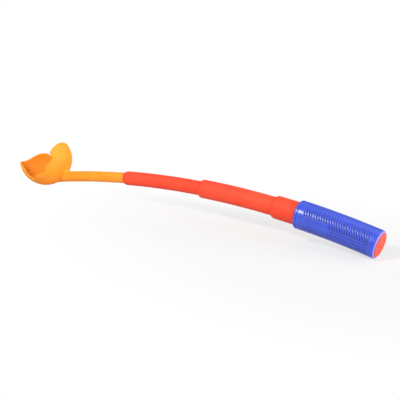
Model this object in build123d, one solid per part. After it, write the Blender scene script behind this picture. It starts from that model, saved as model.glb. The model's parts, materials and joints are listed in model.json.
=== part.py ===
from build123d import *
import os
from math import acos, atan2, cos, degrees, hypot, radians, sin, tan

os.makedirs("parts", exist_ok=True)

# A hand-held ball thrower whose curved tubes slide into each other.
# Lengths are in millimetres and angles in degrees.
# Every tube follows one circle, so each one can run into the next.
# Names ending in share are fractions of the length that they multiply.

# Driving sizes: the curve and the lengths along it, from the grip's end
arc_radius = 1115.0
grip_length = 108.0
handle_show = 33.0
middle_show = 105.0
front_show = 115.5
arm_reach = 128.0

# Driving sizes: the arm and the walls that grow outwards from it
arm_radius = 6.95
front_wall = 1.2
middle_wall = 1.45
handle_wall = 1.4
grip_wall = 3.4

# Driving sizes: the cup
ball_radius = 31.75
ball_room = 1.25
cup_wall = 2.4
cup_drop = 2.3

# Clearances
running_gap = 0.3
drag_gap = 0.12
seat_gap = 0.1
stop_gap = 0.3
overrun = 2.0

# Stop collars, one on the rear end of each sliding tube
collar_length = 10.0
arm_collar_stand = 0.6
front_collar_stand = 0.9
middle_collar_stand = 0.85
collar_chamfer = 0.3

# Mouth rings, one in the front end of each outer tube
ring_nose = 4.0
ring_sleeve = 8.0
nose_land = 0.6
nose_straight = 1.0
nose_round = 3.0
groove_gap = 0.5
groove_width = 1.6
groove_depth = 0.5

# Radii of the tubes, worked out from the arm outwards
front_bore = arm_radius + arm_collar_stand + running_gap
front_radius = front_bore + front_wall
middle_bore = front_radius + front_collar_stand + running_gap
middle_radius = middle_bore + middle_wall
handle_bore = middle_radius + middle_collar_stand + running_gap
handle_radius = handle_bore + handle_wall
grip_radius = handle_radius + grip_wall
cup_bore = ball_radius + ball_room
cup_radius = cup_bore + cup_wall
cup_rise = cup_radius - cup_drop - arm_radius

# Distances along the curve from the grip's end
handle_mouth = grip_length + handle_show
middle_mouth = handle_mouth + middle_show
front_mouth = middle_mouth + front_show
cup_place = front_mouth + arm_reach
ring_depth = ring_nose + ring_sleeve
tube_overlap = ring_depth + stop_gap + collar_length

# The end of the grip, where the floor meets it
rim_round = 1.4

# The thrower stands on the cup's bottom and on the lower edge of the grip's end.
# That fixes how far the grip's end lies from the top of the curve.
whole_turn = cup_place / arc_radius
cup_reach = arc_radius + cup_rise
rim_height = arc_radius - grip_radius + rim_round
rim_reach = hypot(rim_height, rim_round)
rim_turn = atan2(rim_round, rim_height)
level_share = cup_reach * cos(whole_turn) - rim_reach * cos(rim_turn)
slope_share = cup_reach * sin(whole_turn) - rim_reach * sin(rim_turn)
rest_turn = acos((cup_radius - rim_round) / hypot(level_share, slope_share))
grip_turn = atan2(slope_share, level_share) - rest_turn
floor_height = cup_reach * cos(grip_turn - whole_turn) - cup_radius

arc_axis = Axis((0, 0, 0), (0, 1, 0))


def angle_at(place):
    """Angle from the cup, for a distance from the grip's end."""
    return degrees((cup_place - place) / arc_radius)


def plane_at(place):
    """Plane across the curve: Z points to the grip and X points outwards."""
    turn = radians(angle_at(place))
    centre = (arc_radius * sin(turn), 0, arc_radius * cos(turn))
    return Plane(origin=centre, x_dir=(sin(turn), 0, cos(turn)), z_dir=(cos(turn), 0, -sin(turn)))


def curved(section, start, end):
    """Sweep a section along the curve, from one place to one nearer the grip."""
    turn = angle_at(end) - angle_at(start)
    return revolve(plane_at(start) * section, arc_axis, revolution_arc=turn)


def tube(outer, inner, start, end):
    return curved(Circle(outer) - Circle(inner), start, end)


def turned(points):
    """A straight round piece from its half section, radius first, then depth."""
    face = make_face(Plane.XZ * Polyline(*points, close=True))
    return revolve(face, Axis.Z)


def ring(outer, inner, start, end):
    return turned([(inner, start), (outer, start), (outer, end), (inner, end)])


def round_edge(piece, radius, along, index):
    """One of a piece's round edges of a given radius, counted along an axis."""
    circles = piece.edges().filter_by(GeomType.CIRCLE)
    return circles.filter_by(lambda edge: abs(edge.radius - radius) < seat_gap).sort_by(along)[index]


# Handle: tube, grip sleeve, end cap and the pad that the tubes stop on
cap_rim = 2.4
cap_stand = 1.0
cap_flange = 3.4
cap_edge = 0.5
plug_wall = 1.6
plug_length = 10.5
pad_thickness = 3.0
cap_radius = grip_radius - cap_rim
tube_start = cap_flange - cap_stand

handle_tube = tube(handle_radius, handle_bore, handle_mouth - ring_nose, tube_start)

plug_radius = handle_bore - seat_gap
cap_plane = plane_at(tube_start)
cap_disc = Cylinder(cap_radius, cap_flange, align=(Align.CENTER, Align.CENTER, Align.MIN))
cap_disc = chamfer(cap_disc.edges().group_by(Axis.Z)[-1], cap_edge)
end_cap = cap_plane * (cap_disc + ring(plug_radius, plug_radius - plug_wall, -plug_length, 0))
pad_disc = Cylinder(plug_radius, pad_thickness, align=(Align.CENTER, Align.CENTER, Align.MAX))
pad_disc = chamfer(pad_disc.edges().group_by(Axis.Z)[0], cap_edge)
buffer_pad = cap_plane * Pos(0, 0, -plug_length) * pad_disc

# Grip sleeve: slanted ribs all round, but for a smooth window and a slotted bar on each side
grip_nose = 2.0
rib_pitch = 3.25
rib_groove = 1.3
rib_depth = 0.6
rib_slant = 26.0
rib_start = 9.5
rib_end = 96.0
line_place = 104.0
line_width = 0.8
line_depth = 0.4
window_height = 7.6
window_corner = 4.0
window_start = 61.0
window_end = 99.5
bar_height = 3.0
bar_start = 10.5
slot_height = 0.7
slot_depth = 0.4
slot_margin = 2.0

sleeve_bore = handle_radius + seat_gap
sleeve = tube(grip_radius, sleeve_bore, grip_length, 0)
seat_depth = tube_start + overrun
cap_seat = Cylinder(cap_radius + seat_gap, seat_depth, align=(Align.CENTER, Align.CENTER, Align.MIN))
sleeve -= cap_plane * cap_seat
sleeve = fillet(round_edge(sleeve, grip_radius, Axis.X, 0), grip_nose)
sleeve = fillet(round_edge(sleeve, grip_radius, Axis.X, -1), rim_round)


def side_block(height, corner, start, end):
    """A long block with rounded corners through both sides of the grip."""
    depth = 2 * (grip_radius + overrun)
    block = curved(Rectangle(2 * height, depth), end - corner, start + corner)
    if corner < height:
        block += curved(Rectangle(2 * (height - corner), depth), end, start)
    for place in (start + corner, end - corner):
        for lift in {corner - height, height - corner}:
            block += plane_at(place) * (Pos(lift, 0, 0) * Rot(90, 0, 0) * Cylinder(corner, depth))
    return block


def grip_skin(depth, start, end):
    """The outer layer of the grip, with room outside it."""
    return tube(grip_radius + overrun, grip_radius - depth, end, start)


def rib_slab(place, side):
    """Half of a slanted rib groove: above the middle line for 1 and below it for -1."""
    reach = (grip_radius + overrun) / cos(radians(rib_slant))
    width = rib_groove * cos(radians(rib_slant))
    slab = Box(reach, 2 * reach, width, align=(Align.MIN, Align.CENTER, Align.CENTER))
    turn = 0 if side > 0 else 180
    return plane_at(place) * (Rot(0, side * rib_slant, 0) * Rot(0, 0, turn) * slab)


window_block = side_block(window_height, window_corner, window_start, window_end)
bar_block = side_block(bar_height, bar_height, bar_start, window_start + window_corner)
slot_end = window_start - slot_margin
slot_block = side_block(slot_height, slot_height, bar_start + slot_margin, slot_end)

rib_lead = grip_radius * tan(radians(rib_slant))
rib_count = int((rib_end - rib_start + rib_lead) / rib_pitch) + 1
rib_places = [rib_end - index * rib_pitch for index in range(rib_count)]
slabs = Part() + [rib_slab(place, side) for place in rib_places for side in (1, -1)]
grooves = grip_skin(rib_depth, rib_start, rib_end) & slabs
grooves -= window_block + bar_block
slots = grip_skin(slot_depth, rib_start, rib_end) & slot_block
line_ring = ring(grip_radius + overrun, grip_radius - line_depth, -line_width / 2, line_width / 2)
line = plane_at(line_place) * line_ring
grip_sleeve = sleeve - [grooves, slots, line]


# Mouth rings, drag rings and stop collars
def mouth_plane(mouth):
    """The tube's own end, which the nose of its mouth ring covers."""
    return plane_at(mouth - ring_nose)


def mouth_ring(outer, bore, inner_tube):
    """Guide ring with a tapered nose, pressed into the mouth of a tube."""
    guide = inner_tube + running_gap
    groove = guide + groove_depth
    seat = bore - seat_gap
    points = [(guide, -ring_nose), (guide + nose_land, -ring_nose), (outer, -nose_straight), (outer, 0)]
    points += [(seat, 0), (seat, ring_sleeve), (guide, ring_sleeve)]
    points += [(guide, -groove_gap), (groove, -groove_gap)]
    points += [(groove, -groove_gap - groove_width), (guide, -groove_gap - groove_width)]
    piece = turned(points)
    return fillet(round_edge(piece, outer, Axis.Z, 0), nose_round)


def drag_ring(inner_tube):
    """Soft ring in the groove of a mouth ring, which rubs on the inner tube."""
    outer = inner_tube + running_gap + groove_depth - seat_gap
    start = -groove_gap - groove_width + seat_gap
    return ring(outer, inner_tube + drag_gap, start, -groove_gap - seat_gap)


def stop_collar(outer, inner):
    """Collar on the rear end of a sliding tube, with both outer edges eased."""
    eased = outer - collar_chamfer
    rear = collar_length - seat_gap
    points = [(inner, 0), (eased, 0), (outer, collar_chamfer), (outer, rear - collar_chamfer)]
    points += [(eased, rear), (inner, rear)]
    return turned(points)


def tail_of(mouth):
    """Where a sliding tube ends inside the tube with this mouth."""
    return mouth - tube_overlap


def collar_plane(mouth):
    return plane_at(tail_of(mouth) + collar_length)


handle_mouth_ring = mouth_plane(handle_mouth) * mouth_ring(handle_radius, handle_bore, middle_radius)
handle_drag_ring = mouth_plane(handle_mouth) * drag_ring(middle_radius)

# Middle tube
middle_tube = tube(middle_radius, middle_bore, middle_mouth - ring_nose, tail_of(handle_mouth))
middle_collar_outer = middle_radius + middle_collar_stand
middle_stop_collar = stop_collar(middle_collar_outer, middle_radius + seat_gap)
middle_stop_collar = collar_plane(handle_mouth) * middle_stop_collar
middle_mouth_ring = mouth_plane(middle_mouth) * mouth_ring(middle_radius, middle_bore, front_radius)
middle_drag_ring = mouth_plane(middle_mouth) * drag_ring(front_radius)

# Front tube
front_tube = tube(front_radius, front_bore, front_mouth - ring_nose, tail_of(middle_mouth))
front_collar_outer = front_radius + front_collar_stand
front_stop_collar = stop_collar(front_collar_outer, front_radius + seat_gap)
front_stop_collar = collar_plane(middle_mouth) * front_stop_collar
front_mouth_ring = mouth_plane(front_mouth) * mouth_ring(front_radius, front_bore, arm_radius)
front_drag_ring = mouth_plane(front_mouth) * drag_ring(arm_radius)

# Scoop: a hollow arm with a ball cup in one piece
neck_drop = 0.6
neck_wall = 2.0
hollow_end_gap = 12.0
root_round = 5.0
lip_round = 1.0
arm_tail = tail_of(front_mouth)
neck_radius = arm_radius - neck_drop
arm_hollow = neck_radius - neck_wall

# The rim seen from the side, in shares of the cup's radius: forwards, then outwards.
# The third value rounds the corner.
rim_shares = [
    (0.86, 0.14, 0.30),
    (0.56, 0.03, 0.20),
    (0.38, -0.20, 0.20),
    (0.27, -0.46, 0.12),
    (0.06, -0.56, 0.06),
    (-0.06, -0.41, 0.08),
    (-0.52, -0.29, 0.06),
    (-0.57, -0.11, 0.10),
    (-0.79, 0.09, 0.08),
    (-0.715, 0.36, 0.10),
]
rim_first_share = (1.12, -0.17)
rim_last_share = (-0.86, 0.80)
rim_top_share = 1.3


def cup_point(forward_share, outward_share):
    return (forward_share * cup_radius, outward_share * cup_radius)


def across_wall(edge):
    """Whether an edge of the rim runs through the cup's wall, not along it."""
    ends = [(edge.position_at(share) - Vector(*cup_centre)).length for share in (0, 1)]
    return abs(ends[0] - ends[1]) > cup_wall / 2


cup_centre = (0, 0, cup_reach)
cup_plane = Plane(origin=cup_centre, x_dir=(-1, 0, 0), z_dir=(0, 1, 0))

rim_points = [cup_point(*rim_first_share)]
rim_points += [cup_point(forward, outward) for forward, outward, _ in rim_shares]
rim_points.append(cup_point(*rim_last_share))
rim_line = FilletPolyline(*rim_points, radius=[share * cup_radius for _, _, share in rim_shares])
rim_back = cup_point(rim_last_share[0], rim_top_share)
rim_front = cup_point(rim_first_share[0], rim_top_share)
rim_lid = Polyline(rim_points[-1], rim_back, rim_front, rim_points[0])
rim_face = make_face(cup_plane * Curve(rim_line.edges() + rim_lid.edges()))
rim_cut = extrude(rim_face, cup_radius + overrun, both=True)

arm = curved(Circle(arm_radius), cup_place, arm_tail + collar_length)
arm += curved(Circle(neck_radius), arm_tail + collar_length, arm_tail)
shell = Pos(*cup_centre) * Sphere(cup_radius)
solid_cup = shell + arm
solid_cup = fillet(new_edges(shell, arm, combined=solid_cup), root_round)
full_cup = solid_cup - Pos(*cup_centre) * Sphere(cup_bore)
scoop = full_cup - rim_cut
scoop = fillet(new_edges(full_cup, rim_cut, combined=scoop).filter_by(across_wall, reverse=True), lip_round)
hollow_stop = cup_place - cup_radius - hollow_end_gap
scoop -= curved(Circle(arm_hollow), hollow_stop, arm_tail - overrun)

arm_collar_outer = arm_radius + arm_collar_stand
arm_stop_collar = stop_collar(arm_collar_outer, neck_radius + seat_gap)
arm_stop_collar = collar_plane(front_mouth) * arm_stop_collar

stopper_head = 1.6
stopper_length = 8.0
stem_radius = arm_hollow - seat_gap
arm_plug = Cylinder(arm_radius, stopper_head, align=(Align.CENTER, Align.CENTER, Align.MIN))
arm_plug += Cylinder(stem_radius, stopper_length, align=(Align.CENTER, Align.CENTER, Align.MAX))
arm_plug = plane_at(arm_tail) * arm_plug

pieces = {
    "handle_tube": handle_tube,
    "grip_sleeve": grip_sleeve,
    "end_cap": end_cap,
    "buffer_pad": buffer_pad,
    "handle_mouth_ring": handle_mouth_ring,
    "handle_drag_ring": handle_drag_ring,
    "middle_tube": middle_tube,
    "middle_stop_collar": middle_stop_collar,
    "middle_mouth_ring": middle_mouth_ring,
    "middle_drag_ring": middle_drag_ring,
    "front_tube": front_tube,
    "front_stop_collar": front_stop_collar,
    "front_mouth_ring": front_mouth_ring,
    "front_drag_ring": front_drag_ring,
    "scoop": scoop,
    "arm_stop_collar": arm_stop_collar,
    "arm_plug": arm_plug,
}

# The pieces turn about the arc's centre until the thrower rests on the floor.
# The origin is under the middle of the whole thrower.
pieces = {name: Rot(0, degrees(grip_turn - whole_turn), 0) * piece for name, piece in pieces.items()}
whole = Compound(children=[Part(piece.wrapped) for piece in pieces.values()]).bounding_box()
to_origin = Pos(-(whole.min.X + whole.max.X) / 2, 0, -floor_height)
for name, piece in pieces.items():
    export_step(to_origin * piece, f"parts/{name}.step")
print("arc centre", to_origin.position)
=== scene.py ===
import json
import math

import bmesh
import bpy
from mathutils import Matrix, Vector


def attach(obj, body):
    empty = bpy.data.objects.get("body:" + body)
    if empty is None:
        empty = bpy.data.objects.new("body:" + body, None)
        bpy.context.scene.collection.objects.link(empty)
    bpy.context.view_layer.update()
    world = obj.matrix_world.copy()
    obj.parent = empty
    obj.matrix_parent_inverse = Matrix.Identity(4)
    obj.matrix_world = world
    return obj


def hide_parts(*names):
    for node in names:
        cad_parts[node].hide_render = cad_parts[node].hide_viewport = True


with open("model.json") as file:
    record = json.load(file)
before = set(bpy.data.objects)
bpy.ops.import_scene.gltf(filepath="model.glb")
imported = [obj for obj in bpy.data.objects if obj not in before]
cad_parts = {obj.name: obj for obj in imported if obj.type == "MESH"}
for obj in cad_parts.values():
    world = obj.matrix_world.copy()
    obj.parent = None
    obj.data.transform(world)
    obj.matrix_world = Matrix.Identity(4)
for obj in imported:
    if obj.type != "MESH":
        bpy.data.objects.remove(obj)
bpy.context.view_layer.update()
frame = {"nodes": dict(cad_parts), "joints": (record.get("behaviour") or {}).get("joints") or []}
print("frame loaded:", len(frame["nodes"]), "nodes")

mm = 0.001
# vertices closer than this are one
tiny = 0.001 * mm

# The tubes follow one circle, and its centre is the point that the slides turn about
arcCentre = Vector(frame["joints"][0]["pos_m"])


def reachOf(point):
    # distance from the circle's centre
    return math.hypot(point.x - arcCentre.x, point.z - arcCentre.z)


def halfWidth(node):
    # half of its width along Y
    return max(abs(v.co.y) for v in frame["nodes"][node].data.vertices)


# Radius of the curve that the tubes' middles lie on
outermost = max(reachOf(v.co) for v in frame["nodes"]["front_tube"].data.vertices)
curveRadius = outermost - halfWidth("front_tube")


def alongCurve(point):
    # distance along the curve from its top, growing towards the grip
    return math.atan2(point.x - arcCentre.x, point.z - arcCentre.z) * curveRadius


def endsOf(node):
    # where it starts and ends along the curve
    places = [alongCurve(v.co) for v in frame["nodes"][node].data.vertices]
    return min(places), max(places)


def onCurve(place, side, height):
    # side is along Y, height is outwards from the circle
    turn = place / curveRadius
    reach = curveRadius + height
    return arcCentre + Vector((reach * math.sin(turn), side, reach * math.cos(turn)))


def smoothStep(low, high, value):
    # 0 at low, 1 at high and smooth between them, whichever of the two is greater
    share = min(max((value - low) / (high - low), 0), 1)
    return share * share * (3 - 2 * share)


def dent(distance, halfSpan, flatShare=0.35):
    # 1 over this middle share of a groove, easing to 0 at its edges
    return smoothStep(halfSpan, halfSpan * flatShare, abs(distance))


# Finishes
# Patterns on the turned pieces read the place before the bend, so they follow the tube
# Most of a noise's values lie between these two
noiseLow, noiseHigh = 0.3, 0.7


def newMaterial(name):
    material = bpy.data.materials.new(name)
    material.use_nodes = True
    nodes = material.node_tree.nodes
    links = material.node_tree.links
    return material, nodes, links, nodes["Principled BSDF"]


def placeOutput(nodes, follows):
    if follows:
        place = nodes.new("ShaderNodeAttribute")
        place.attribute_name = "straight"
        return place.outputs["Vector"]
    return nodes.new("ShaderNodeTexCoord").outputs["Object"]


def noise(nodes, links, follows, size, detail=2, stretch=1):
    # features of about this size in metres, stretched this many times along the tube
    mapping = nodes.new("ShaderNodeMapping")
    mapping.inputs["Scale"].default_value = (1 / stretch, 1, 1)
    texture = nodes.new("ShaderNodeTexNoise")
    texture.inputs["Scale"].default_value = 1 / size
    texture.inputs["Detail"].default_value = detail
    links.new(placeOutput(nodes, follows), mapping.inputs["Vector"])
    links.new(mapping.outputs["Vector"], texture.inputs["Vector"])
    return texture.outputs["Fac"]


def spread(nodes, links, value, low, high, start=noiseLow, end=noiseHigh):
    # turns a value's range from start to end into the numbers from low to high
    span = nodes.new("ShaderNodeMapRange")
    span.inputs["From Min"].default_value = start
    span.inputs["From Max"].default_value = end
    span.inputs["To Min"].default_value = low
    span.inputs["To Max"].default_value = high
    links.new(value, span.inputs["Value"])
    return span.outputs["Result"]


def mottle(nodes, links, value, first, second):
    # goes between two colours with a noise
    ramp = nodes.new("ShaderNodeValToRGB")
    stops = ramp.color_ramp.elements
    for stop, position, colour in zip(stops, (noiseLow, noiseHigh), (first, second)):
        stop.position = position
        stop.color = (*colour, 1)
    links.new(value, ramp.inputs["Fac"])
    return ramp.outputs["Color"]


def addBumps(nodes, links, shader, follows, layers):
    # each layer is a feature size, a height and a stretch along the tube
    last = None
    for size, height, stretch in layers:
        bump = nodes.new("ShaderNodeBump")
        bump.inputs["Strength"].default_value = 1
        bump.inputs["Distance"].default_value = height
        links.new(noise(nodes, links, follows, size, stretch=stretch), bump.inputs["Height"])
        if last:
            links.new(last, bump.inputs["Normal"])
        last = bump.outputs["Normal"]
    links.new(last, shader.inputs["Normal"])


def addScuffs(nodes, links, follows, gloss, look):
    # fine lengthwise rubbing, from tubes that slide in each other
    streaks = noise(nodes, links, follows, look["scuffSize"], detail=3, stretch=look["scuffStretch"])
    paintedRimHighlight = spread(nodes, links, streaks, 0, look["scuffRoughness"], *look["scuffRange"])
    total = nodes.new("ShaderNodeMath")
    total.operation = "ADD"
    links.new(gloss, total.inputs[0])
    links.new(paintedRimHighlight, total.inputs[1])
    return total.outputs["Value"]


def marked(nodes, links, name, colour, gloss, markColour, addedRoughness):
    # another colour and more roughness where the piece's own attribute of this name says so
    mark = nodes.new("ShaderNodeAttribute")
    mark.attribute_name = name
    shade = nodes.new("ShaderNodeMix")
    shade.data_type = "RGBA"
    shade.inputs["B"].default_value = (*markColour, 1)
    links.new(mark.outputs["Fac"], shade.inputs["Factor"])
    links.new(colour, shade.inputs["A"])
    dull = nodes.new("ShaderNodeMath")
    dull.operation = "MULTIPLY_ADD"
    dull.inputs[1].default_value = addedRoughness
    links.new(mark.outputs["Fac"], dull.inputs[0])
    links.new(gloss, dull.inputs[2])
    return shade.outputs["Result"], dull.outputs["Value"]


def mouldedPlastic(name, look):
    # uneven colour and gloss, with fine and broad bumps
    material, nodes, links, shader = newMaterial(name)
    follows = look.get("follows", True)
    tone = noise(nodes, links, follows, look["toneSize"])
    colour = mottle(nodes, links, tone, look["deep"], look["pale"])
    patches = noise(nodes, links, follows, look["glossSize"], detail=3)
    gloss = spread(nodes, links, patches, *look["roughness"])
    if "scuffSize" in look:
        gloss = addScuffs(nodes, links, follows, gloss, look)
    for mark, markColour, addedRoughness in look.get("marks", []):
        colour, gloss = marked(nodes, links, mark, colour, gloss, markColour, addedRoughness)
    links.new(colour, shader.inputs["Base Color"])
    links.new(gloss, shader.inputs["Roughness"])
    shader.inputs["IOR"].default_value = look["ior"]
    shader.inputs["Specular IOR Level"].default_value = look["shine"]
    if "glow" in look:
        shader.inputs["Subsurface Weight"].default_value = look["glow"]
        shader.inputs["Subsurface Radius"].default_value = look["glowReach"]
        shader.inputs["Subsurface Scale"].default_value = 1
    addBumps(nodes, links, shader, follows, look["bumps"])
    return material


redTube = mouldedPlastic("redTube", {
    "deep": (0.88, 0.064, 0.026), "pale": (0.93, 0.080, 0.036), "toneSize": 45 * mm,
    "roughness": (0.54, 0.64), "glossSize": 9 * mm, "ior": 1.46, "shine": 0.22,
    "scuffSize": 1.1 * mm, "scuffStretch": 28, "scuffRoughness": 0.10, "scuffRange": (0.55, 0.72),
    "bumps": [(0.35 * mm, 0.0015 * mm, 1), (0.9 * mm, 0.003 * mm, 20), (6 * mm, 0.015 * mm, 2)],
})
# The cap's red is paler than the tubes': painted light for the cap's face, which turns towards the key
# lamp
redCap = mouldedPlastic("redCap", {
    "deep": (0.91, 0.072, 0.032), "pale": (0.95, 0.102, 0.052), "toneSize": 9 * mm,
    "roughness": (0.44, 0.56), "glossSize": 5 * mm, "ior": 1.46, "shine": 0.4,
    "bumps": [(0.5 * mm, 0.008 * mm, 1), (4 * mm, 0.02 * mm, 1)],
})
# Each mark: the attribute's name, the colour where it is 1, and the roughness that it adds
# The grip's first mark is painted shade, darkening its grooves, slots and the lines round its window; the
# second is a painted highlight on its rounded rear rim
blueGrip = mouldedPlastic("blueGrip", {
    "deep": (0.046, 0.083, 0.57), "pale": (0.057, 0.102, 0.68), "toneSize": 30 * mm,
    "marks": [("paintedShade", (0.009, 0.018, 0.18), 0.3), ("paintedRimHighlight", (0.24, 0.27, 0.95), 0)],
    "roughness": (0.26, 0.31), "glossSize": 7 * mm, "ior": 1.50, "shine": 0.5,
    "bumps": [(0.4 * mm, 0.002 * mm, 1), (5 * mm, 0.02 * mm, 1)],
})
orangeScoop = mouldedPlastic("orangeScoop", {
    "follows": False, "deep": (0.93, 0.30, 0.017), "pale": (0.97, 0.33, 0.025), "toneSize": 40 * mm,
    "roughness": (0.54, 0.64), "glossSize": 10 * mm, "ior": 1.46, "shine": 0.22,
    "glow": 0.25, "glowReach": (4.0 * mm, 1.8 * mm, 0.3 * mm),
    "bumps": [(0.35 * mm, 0.0012 * mm, 1), (8 * mm, 0.02 * mm, 1)],
})
paleNylon = mouldedPlastic("paleNylon", {
    "follows": False, "deep": (0.66, 0.64, 0.56), "pale": (0.74, 0.72, 0.66), "toneSize": 6 * mm,
    "roughness": (0.42, 0.55), "glossSize": 3 * mm, "ior": 1.53, "shine": 0.5,
    "glow": 0.15, "glowReach": (1.0 * mm, 0.9 * mm, 0.7 * mm),
    "bumps": [(0.3 * mm, 0.004 * mm, 1), (3 * mm, 0.01 * mm, 1)],
})
dragRubber = mouldedPlastic("dragRubber", {
    "follows": False, "deep": (0.012, 0.012, 0.013), "pale": (0.022, 0.022, 0.024), "toneSize": 4 * mm,
    "roughness": (0.62, 0.80), "glossSize": 2 * mm, "ior": 1.52, "shine": 0.5,
    "bumps": [(0.25 * mm, 0.01 * mm, 1), (2 * mm, 0.01 * mm, 1)],
})
padFoam = mouldedPlastic("padFoam", {
    "follows": False, "deep": (0.018, 0.018, 0.020), "pale": (0.040, 0.040, 0.044), "toneSize": 1.2 * mm,
    "roughness": (0.85, 0.98), "glossSize": 1 * mm, "ior": 1.40, "shine": 0.5,
    "bumps": [(0.5 * mm, 0.12 * mm, 1), (1.6 * mm, 0.08 * mm, 1)],
})
print("finishes made")


# Making pieces
# An eased edge has this many segments, and this profile makes it an arc
easingSegments = 6
roundProfile = 0.5


def turnedProfile(points, around, step, fineStep=None, fineFrom=None):
    # turns a closed outline of places, radii and easings about the tube's line
    # edges that lie beyond the radius fineFrom are cut into fine steps
    bm = bmesh.new()
    corners = [bm.verts.new((place, 0, radius)) for place, radius, _ in points]
    for first, second in zip(corners, corners[1:] + corners[:1]):
        bm.edges.new((first, second))
    for corner, (_, _, easing) in zip(corners, points):
        if easing:
            bmesh.ops.bevel(bm, geom=[corner], offset=easing, offset_type="OFFSET",
                            segments=easingSegments, profile=roundProfile, affect="VERTICES",
                            material=-1, clamp_overlap=True)
    for edge in bm.edges[:]:
        outside = fineFrom and min(v.co.z for v in edge.verts) > fineFrom
        cuts = int(edge.calc_length() / (fineStep if outside else step))
        if cuts:
            bmesh.ops.subdivide_edges(bm, edges=[edge], cuts=cuts)
    bmesh.ops.spin(bm, geom=bm.verts[:] + bm.edges[:], cent=(0, 0, 0), axis=(1, 0, 0),
                   angle=math.tau, steps=around, use_merge=True)
    bmesh.ops.remove_doubles(bm, verts=bm.verts, dist=tiny)
    bmesh.ops.recalc_face_normals(bm, faces=bm.faces)
    return bm


def bendOnCurve(bm):
    # the place before the bend is kept for the finishes
    straight = bm.verts.layers.float_vector.new("straight")
    for v in bm.verts:
        v[straight] = v.co
        v.co = onCurve(*v.co)


def finishPiece(name, bm, material, body, replaced, sharpAngle=None):
    mesh = bpy.data.meshes.new(name)
    bm.to_mesh(mesh)
    bm.free()
    mesh.materials.append(material)
    mesh.shade_smooth()
    if sharpAngle:
        mesh.set_sharp_from_angle(angle=math.radians(sharpAngle))
    piece = bpy.data.objects.new(name, mesh)
    bpy.context.scene.collection.objects.link(piece)
    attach(piece, body)
    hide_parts(*replaced)


# Red tubes: plain walls with eased ends, bent along the curve
tubeLook = {
    "around": 128, "step": 3 * mm, "endEasing": 0.12 * mm, "sharpAngle": 40,
    "walls": {"handle": 1.4 * mm, "middle": 1.45 * mm, "front": 1.2 * mm},
}


def plainTube(body):
    node = body + "_tube"
    low, high = endsOf(node)
    outer = halfWidth(node)
    inner = outer - tubeLook["walls"][body]
    easing = tubeLook["endEasing"]
    outline = [(low, outer, easing), (high, outer, easing), (high, inner, easing), (low, inner, easing)]
    bm = turnedProfile(outline, tubeLook["around"], tubeLook["step"])
    bendOnCurve(bm)
    finishPiece(body + "Tube", bm, redTube, body, [node], tubeLook["sharpAngle"])


for body in tubeLook["walls"]:
    plainTube(body)


# Mouth rings: a rounded nose on the tube's end and a sleeve inside it
# Each ring lets its runner through, and the arm's width is read from the plug in its end
ringLook = {
    "around": 128, "step": 2 * mm, "nose": 4 * mm, "sleeve": 8 * mm, "land": 0.6 * mm, "straight": 1 * mm,
    "noseEasing": 1.1 * mm, "lipEasing": 0.2 * mm, "seamEasing": 0.1 * mm, "seatGap": 0.1 * mm,
    "runningGap": 0.3 * mm, "grooveGap": 0.5 * mm, "grooveWidth": 1.6 * mm, "grooveDepth": 0.5 * mm,
    "sharpAngle": 40,
    "runners": {"handle": "middle_tube", "middle": "front_tube", "front": "arm_plug"},
}


def mouthRing(body):
    look = ringLook
    node = body + "_mouth_ring"
    mouth = endsOf(node)[0]
    outer = halfWidth(node)
    guide = halfWidth(look["runners"][body]) + look["runningGap"]
    seat = outer - tubeLook["walls"][body] - look["seatGap"]
    shoulder = mouth + look["nose"]
    sleeveEnd = shoulder + look["sleeve"]
    grooveEnd = shoulder - look["grooveGap"]
    grooveStart = grooveEnd - look["grooveWidth"]
    groove = guide + look["grooveDepth"]
    lip = look["lipEasing"]
    outline = [
        (mouth, guide, lip), (mouth, guide + look["land"], lip),
        (shoulder - look["straight"], outer, look["noseEasing"]), (shoulder, outer, look["seamEasing"]),
        (shoulder, seat, 0), (sleeveEnd, seat, lip), (sleeveEnd, guide, lip), (grooveEnd, guide, 0),
        (grooveEnd, groove, 0), (grooveStart, groove, 0), (grooveStart, guide, 0),
    ]
    bm = turnedProfile(outline, look["around"], look["step"])
    bendOnCurve(bm)
    finishPiece(body + "MouthRing", bm, redTube, body, [node], look["sharpAngle"])


for body in ringLook["runners"]:
    mouthRing(body)
print("tubes and mouth rings made")


# Grip: a sleeve with slanted ribs, and on each side a smooth window and a slotted bar
# Places are distances from the grip's rear end, and the heights are half of the real ones
gripLook = {
    # darkDepth is the dent depth that gets full painted shade, and edgeLineDark is the painted shade
    # along the thin lines round the window and the bar
    "around": 272, "step": 6 * mm, "rowsPerRib": 10, "seatGap": 0.1 * mm, "boreEasing": 0.25 * mm,
    # the next two numbers set how far from the rear end the painted highlight on the rim reaches, and
    # where it is full
    "rimEasing": 2.0 * mm, "noseEasing": 2.0 * mm, "rimHighlightReach": 1.8 * mm, "rimHighlightFull": 0.6 * mm,
    "capSeatDepth": 2.4 * mm, "skinMargin": 0.002 * mm,
    "ribPitch": 3.25 * mm, "ribSlant": 26, "ribStart": 9.5 * mm, "ribEnd": 96 * mm,
    "grooveWidth": 1.45 * mm, "grooveDepth": 0.9 * mm, "upperShare": 0.6, "lowerShare": 0.35,
    "crestShare": 0.12, "deepUnder": 4.5 * mm, "deepUpTo": 8 * mm, "fadeStart": 13 * mm,
    "fadeEnd": 16.2 * mm, "darkDepth": 0.5 * mm,
    "windowHeight": 7.6 * mm, "windowCorner": 4 * mm, "windowStart": 61 * mm, "windowEnd": 99.5 * mm,
    "barHeight": 3.0 * mm, "barStart": 10.5 * mm, "slotHeight": 0.8 * mm, "slotDepth": 0.28 * mm,
    "slotMargin": 2 * mm, "edgeLineWidth": 1.1 * mm, "edgeLineDepth": 0.03 * mm, "edgeLineDark": 0.5,
    "edgeSoftness": 0.3 * mm,
    "linePlace": 104 * mm, "lineWidth": 1.0 * mm, "lineDepth": 0.4 * mm,
}


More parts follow.
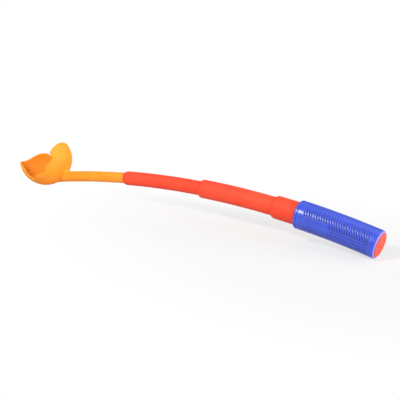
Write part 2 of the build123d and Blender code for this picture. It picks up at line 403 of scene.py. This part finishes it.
def outsideBlock(place, height, start, end, halfHeight, corner):
    # distance outside a long block with rounded corners, negative inside it
    alongIt = abs(place - (start + end) / 2) - (end - start) / 2 + corner
    acrossIt = abs(height) - halfHeight + corner
    beyond = math.hypot(max(alongIt, 0), max(acrossIt, 0))
    return beyond + min(max(alongIt, acrossIt), 0) - corner


def grooveShare(height):
    # the grooves are deepest over the bar, run out towards the crest and are shallow underneath
    look = gripLook
    if height < 0:
        return look["lowerShare"]
    deep = smoothStep(look["deepUpTo"], look["deepUnder"], height)
    faded = smoothStep(look["fadeStart"], look["fadeEnd"], height)
    share = look["upperShare"] + (1 - look["upperShare"]) * deep
    return share - (look["upperShare"] - look["crestShare"]) * faded


def gripDrop(place, height):
    # how far the grip's surface lies under its full radius, and how much painted shade darkens it there
    look = gripLook
    window = outsideBlock(place, height, look["windowStart"], look["windowEnd"], look["windowHeight"],
                          look["windowCorner"])
    bar = outsideBlock(place, height, look["barStart"], look["windowStart"] + look["windowCorner"],
                       look["barHeight"], look["barHeight"])
    slot = outsideBlock(place, height, look["barStart"] + look["slotMargin"],
                        look["windowStart"] - look["slotMargin"], look["slotHeight"], look["slotHeight"])
    soft = look["edgeSoftness"]
    smoothPart = min(window, bar)
    # slanted ribs
    lead = abs(height) * math.tan(math.radians(look["ribSlant"]))
    count = (look["ribEnd"] + lead - place) / look["ribPitch"]
    groove = dent((count - round(count)) * look["ribPitch"], look["grooveWidth"] / 2)
    withinRibs = smoothStep(look["ribStart"] - soft, look["ribStart"] + soft, place)
    withinRibs *= smoothStep(look["ribEnd"] + soft, look["ribEnd"] - soft, place)
    outsideSmooth = smoothStep(-soft, soft, smoothPart)
    drop = look["grooveDepth"] * grooveShare(height) * groove * withinRibs * outsideSmooth
    # the slot in the bar, the ring line near the nose, and thin lines round the window and the bar
    drop = max(drop, look["slotDepth"] * smoothStep(soft, -soft, slot))
    drop = max(drop, look["lineDepth"] * dent(place - look["linePlace"], look["lineWidth"] / 2))
    # painted shade: darker with a groove's or slot's depth, and along the thin lines round the window and
    # the bar, whose dent is too slight to shade by itself
    edge = dent(smoothPart, look["edgeLineWidth"] / 2)
    dark = max(drop / look["darkDepth"], look["edgeLineDark"] * edge)
    return max(drop, look["edgeLineDepth"] * edge), min(dark, 1)


def gripSleeve():
    look = gripLook
    nose, rear = endsOf("grip_sleeve")
    outer = halfWidth("grip_sleeve")
    bore = halfWidth("handle_tube") + look["seatGap"]
    seat = halfWidth("end_cap") + look["seatGap"]
    seatEnd = rear - look["capSeatDepth"]
    outline = [
        (nose, bore, look["boreEasing"]), (nose, outer, look["noseEasing"]),
        (rear, outer, look["rimEasing"]), (rear, seat, look["boreEasing"]),
        (seatEnd, seat, 0), (seatEnd, bore, 0),
    ]
    skin = outer - look["skinMargin"]
    bm = turnedProfile(outline, look["around"], look["step"], look["ribPitch"] / look["rowsPerRib"], skin)
    # painted shade in the grooves and a painted highlight on the rear rim, kept on the vertices for the
    # finish
    paintedShade = bm.verts.layers.float.new("paintedShade")
    paintedRimHighlight = bm.verts.layers.float.new("paintedRimHighlight")
    for v in bm.verts:
        # painted highlight: a paler band over the rounded rear rim, standing in for the lamps' reflection
        # there
        v[paintedRimHighlight] = smoothStep(look["rimHighlightReach"], look["rimHighlightFull"], rear - v.co.x)
        radius = math.hypot(v.co.y, v.co.z)
        if radius > skin:
            drop, v[paintedShade] = gripDrop(rear - v.co.x, v.co.z)
            v.co.y *= 1 - drop / radius
            v.co.z *= 1 - drop / radius
    bendOnCurve(bm)
    finishPiece("gripSleeve", bm, blueGrip, "handle", ["grip_sleeve"])


gripSleeve()
print("grip made")


# End cap: a disc that stands a little proud of the grip's end, with a plug inside the tube
capLook = {
    "around": 128, "step": 1 * mm, "flange": 3.4 * mm, "plugWall": 1.6 * mm, "edgeEasing": 1.05 * mm,
    "borderWidth": 2.2 * mm, "dish": 0.2 * mm, "dishEasing": 0.9 * mm, "sharpAngle": 40,
}


def endCap():
    look = capLook
    plugEnd, face = endsOf("end_cap")
    radius = halfWidth("end_cap")
    under = face - look["flange"]
    plug = halfWidth("buffer_pad")
    hollow = plug - look["plugWall"]
    border = radius - look["borderWidth"]
    outline = [
        (face - look["dish"], 0, 0), (face - look["dish"], border - look["dishEasing"], look["dish"]),
        (face, border, look["dish"]), (face, radius, look["edgeEasing"]), (under, radius, 0),
        (under, plug, 0), (plugEnd, plug, 0), (plugEnd, hollow, 0), (under, hollow, 0), (under, 0, 0),
    ]
    bm = turnedProfile(outline, look["around"], look["step"])
    bendOnCurve(bm)
    finishPiece("endCap", bm, redCap, "handle", ["end_cap"], look["sharpAngle"])


endCap()
print("end cap made")


# Scoop: the moulded arm and cup, with soft edges all round
# The smoothing takes turns inwards and outwards, so the walls keep their thickness
scoopLook = {"voxel": 0.6 * mm, "rounds": 6, "inwards": 0.5, "outwards": -0.52}


def ballScoop():
    look = scoopLook
    bm = bmesh.new()
    bm.from_mesh(frame["nodes"]["scoop"].data)
    bmesh.ops.remove_doubles(bm, verts=bm.verts, dist=tiny)
    mesh = bpy.data.meshes.new("scoopCopy")
    bm.to_mesh(mesh)
    bm.free()
    copy = bpy.data.objects.new("scoopCopy", mesh)
    bpy.context.scene.collection.objects.link(copy)
    remesh = copy.modifiers.new("remesh", "REMESH")
    remesh.mode = "VOXEL"
    remesh.voxel_size = look["voxel"]
    bpy.context.view_layer.update()
    even = bpy.data.meshes.new_from_object(copy.evaluated_get(bpy.context.evaluated_depsgraph_get()))
    bpy.data.objects.remove(copy)
    bm = bmesh.new()
    bm.from_mesh(even)
    bpy.data.meshes.remove(even)
    for factor in [look["inwards"], look["outwards"]] * look["rounds"]:
        bmesh.ops.smooth_vert(bm, verts=bm.verts, factor=factor, use_axis_x=True, use_axis_y=True,
                              use_axis_z=True)
    finishPiece("ballScoop", bm, orangeScoop, "scoop", ["scoop"])


ballScoop()
print("scoop made")


# Pieces that stay as they are in the frame
innerFinishes = {
    "buffer_pad": padFoam, "handle_drag_ring": dragRubber, "middle_drag_ring": dragRubber,
    "front_drag_ring": dragRubber, "middle_stop_collar": paleNylon, "front_stop_collar": paleNylon,
    "arm_stop_collar": paleNylon, "arm_plug": paleNylon,
}
for node, finish in innerFinishes.items():
    mesh = frame["nodes"][node].data
    mesh.materials.clear()
    mesh.materials.append(finish)
print("inner pieces finished")


# Room: a pale floor and soft lamps
# The camera sees part of the floor's white without shade, and past the fade it sees only white
stageLook = {
    "floorSize": 14, "floorTone": 0.66, "floorRoughness": 0.9, "whiteShare": 0.68, "fadeStart": 0.18,
    "fadeEnd": 0.38, "fadeCentre": (0.20, -0.05), "fadeStretch": 1.8, "worldStrength": 0.23,
}
# Each lamp: the direction that it shines from, its distance, width and height, how bright it makes a
# white card that faces it, and what share of that goes into soft light and into shine
lampLooks = {
    "keyLamp": {"from": (0.95, -0.19, 0.38), "distance": 4.0, "size": (2.8, 2.8), "level": 0.80},
    "topLamp": {"from": (0.20, 0.45, 1.00), "distance": 3.0, "size": (2.2, 2.2), "level": 0.21,
                "shine": 0.3},
    "fillLamp": {"from": (-0.50, -0.75, 0.50), "distance": 2.5, "size": (1.8, 1.8), "level": 0.03,
                 "shine": 0},
    "streakLamp": {"from": (-0.32, -0.62, 0.70), "distance": 1.5, "size": (0.22, 0.22), "level": 0.7,
                   "soft": 0},
    "backLamp": {"from": (0.80, 0.50, 0.33), "distance": 3.0, "size": (0.9, 0.5), "level": 0.36,
                 "shine": 0.6},
}
lampAim = Vector((0.12, 0, 0.03))


def floorMaterial():
    look = stageLook
    material, nodes, links, shader = newMaterial("paleFloor")
    shader.inputs["Base Color"].default_value = (*[look["floorTone"]] * 3, 1)
    shader.inputs["Roughness"].default_value = look["floorRoughness"]
    shader.inputs["Specular IOR Level"].default_value = 0
    oval = nodes.new("ShaderNodeMapping")
    x, y = look["fadeCentre"]
    oval.inputs["Location"].default_value = (-x, -y * look["fadeStretch"], 0)
    oval.inputs["Scale"].default_value = (1, look["fadeStretch"], 1)
    links.new(placeOutput(nodes, False), oval.inputs["Vector"])
    away = nodes.new("ShaderNodeVectorMath")
    away.operation = "LENGTH"
    links.new(oval.outputs["Vector"], away.inputs[0])
    share = spread(nodes, links, away.outputs["Value"], look["whiteShare"], 1, look["fadeStart"],
                   look["fadeEnd"])
    seen = nodes.new("ShaderNodeMath")
    seen.operation = "MULTIPLY"
    links.new(share, seen.inputs[0])
    links.new(nodes.new("ShaderNodeLightPath").outputs["Is Camera Ray"], seen.inputs[1])
    white = nodes.new("ShaderNodeEmission")
    both = nodes.new("ShaderNodeMixShader")
    links.new(seen.outputs["Value"], both.inputs[0])
    links.new(shader.outputs[0], both.inputs[1])
    links.new(white.outputs[0], both.inputs[2])
    links.new(both.outputs[0], nodes["Material Output"].inputs["Surface"])
    return material


def makeFloor():
    bm = bmesh.new()
    bmesh.ops.create_grid(bm, x_segments=1, y_segments=1, size=stageLook["floorSize"] / 2)
    mesh = bpy.data.meshes.new("floor")
    bm.to_mesh(mesh)
    bm.free()
    mesh.materials.append(floorMaterial())
    floor = bpy.data.objects.new("floor", mesh)
    bpy.context.scene.collection.objects.link(floor)


def makeWorld():
    # the camera sees it white, and it lights the room with less
    world = bpy.data.worlds.new("studio")
    world.use_nodes = True
    nodes = world.node_tree.nodes
    links = world.node_tree.links
    sky = nodes["Background"]
    sky.inputs["Color"].default_value = (1, 1, 1, 1)
    path = nodes.new("ShaderNodeLightPath")
    strength = nodes.new("ShaderNodeMapRange")
    strength.inputs["To Min"].default_value = stageLook["worldStrength"]
    strength.inputs["To Max"].default_value = 1
    links.new(path.outputs["Is Camera Ray"], strength.inputs["Value"])
    links.new(strength.outputs["Result"], sky.inputs["Strength"])
    bpy.context.scene.world = world


def softLamp(name, look):
    lamp = bpy.data.lights.new(name, "AREA")
    lamp.shape = "RECTANGLE"
    lamp.size, lamp.size_y = look["size"]
    lamp.energy = look["level"] * (math.pi * look["distance"]) ** 2
    lamp.diffuse_factor = look.get("soft", 1)
    lamp.specular_factor = look.get("shine", 1)
    direction = Vector(look["from"]).normalized()
    rig = bpy.data.objects.new(name, lamp)
    rig.location = lampAim + direction * look["distance"]
    rig.rotation_euler = (-direction).to_track_quat("-Z", "Y").to_euler()
    bpy.context.scene.collection.objects.link(rig)


makeFloor()
makeWorld()
for name, look in lampLooks.items():
    softLamp(name, look)


# Camera: where the photographer stood
cameraLook = {
    "target": Vector((14.85, 0, 24.32)) * mm, "turn": 31.552, "rise": 20.786, "distance": 1515.5 * mm,
    "lens": 108, "sensor": 36,
}


def makeCamera():
    look = cameraLook
    turn, rise = math.radians(look["turn"]), math.radians(look["rise"])
    back = Vector((math.sin(turn) * math.cos(rise), -math.cos(turn) * math.cos(rise), math.sin(rise)))
    camera = bpy.data.objects.new("camera", bpy.data.cameras.new("camera"))
    camera.data.lens = look["lens"]
    camera.data.sensor_width = look["sensor"]
    camera.location = look["target"] + back * look["distance"]
    camera.rotation_euler = (-back).to_track_quat("-Z", "Y").to_euler()
    bpy.context.scene.collection.objects.link(camera)
    bpy.context.scene.camera = camera


makeCamera()
bpy.context.scene.view_settings.view_transform = "Standard"
print("stage and camera set")
